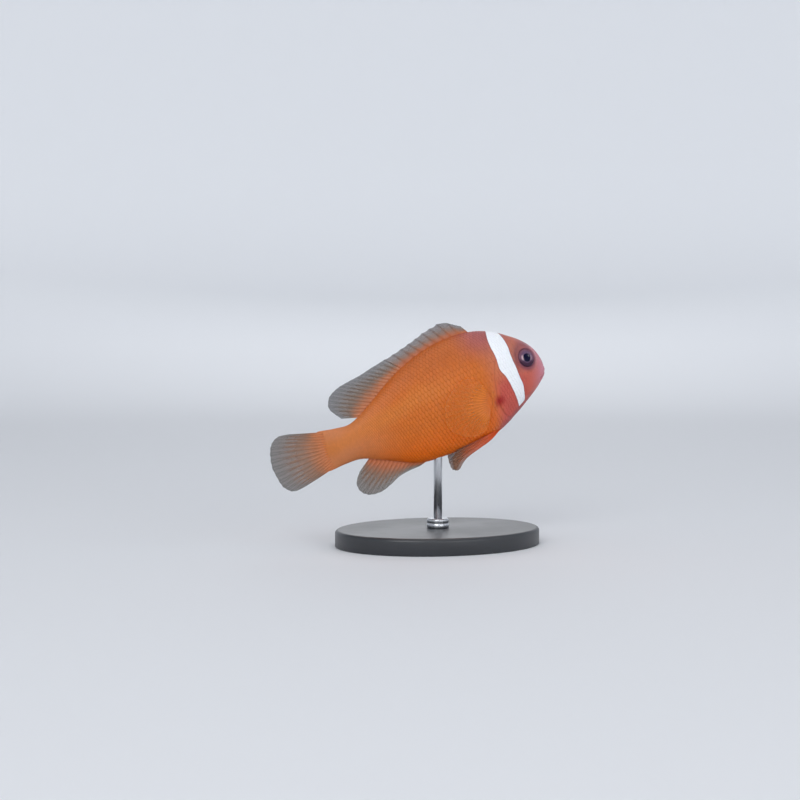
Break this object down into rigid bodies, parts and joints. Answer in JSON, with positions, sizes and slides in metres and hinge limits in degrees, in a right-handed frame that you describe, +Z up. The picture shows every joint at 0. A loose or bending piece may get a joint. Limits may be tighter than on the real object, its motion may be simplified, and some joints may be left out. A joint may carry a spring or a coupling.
{
  "type": "clownfish",
  "caption": "Life-size young tomato clownfish with a white head bar, nose up in a gentle bend, on a rod and an oval base.",
  "frame": {"origin": "middle of the underside of the oval base, straight below the rod", "axes": "+X the way the fish swims, +Y the fish's left, +Z up"},
  "size_m": [0.0693, 0.04, 0.0526],
  "materials": {
    "skin": "wet scaled skin, orange with a white head bar",
    "fin": "thin translucent fin, orange at its root and clear greyish at its edge",
    "eye": "wet eye with a mauve iris and a dark pupil",
    "base": "satin dark grey",
    "rod": "fine brushed"
  },
  "bodies": {
    "root": {"head": "skin", "lower_jaw": "skin", "gill_cover_left": "skin", "gill_cover_right": "skin", "trunk": "skin", "tail_stalk": "skin", "eye_left": "eye", "eye_right": "eye", "dorsal_fin_front": "fin", "dorsal_fin_rear": "fin", "anal_fin": "fin", "tail_fin": "fin", "pectoral_fin_left": "fin", "pectoral_fin_right": "fin", "pelvic_fin_left": "fin", "pelvic_fin_right": "fin", "stand_base": "base", "stand_collar": "rod", "stand_rod": "rod"}
  },
  "joints": []
}
